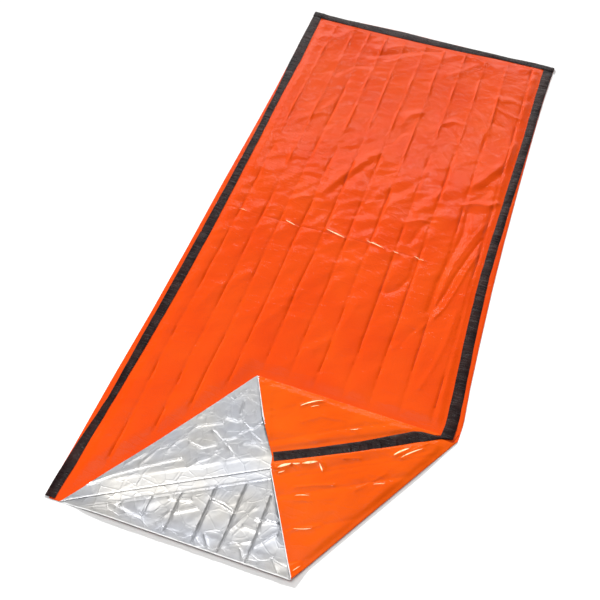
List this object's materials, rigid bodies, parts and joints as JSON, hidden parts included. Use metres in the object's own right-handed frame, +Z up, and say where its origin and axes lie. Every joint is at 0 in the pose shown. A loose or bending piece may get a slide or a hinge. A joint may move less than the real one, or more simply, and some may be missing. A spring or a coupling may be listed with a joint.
{
  "type": "emergency foil sleeping bag",
  "caption": "Flat two-ply foil sleeping bag, orange outside and silver inside, with black taped seams and its mouth's near right corner folded back.",
  "frame": {"origin": "centre of the bag's box on the surface that it lies on", "axes": "+Y from the open end towards the foot, +X to the right seen from the open end, +Z up"},
  "size_m": [0.916, 2.1072, 0.007],
  "materials": {
    "foil_film": "glossy crinkled film, orange outside and metallised silver inside",
    "seam_tape": "black film tape, satin, slightly crimped"
  },
  "bodies": {
    "root": {"back_panel": "foil_film", "front_panel": "foil_film", "seam_tape_left": "seam_tape", "seam_tape_right": "seam_tape", "seam_tape_foot": "seam_tape"}
  },
  "joints": []
}
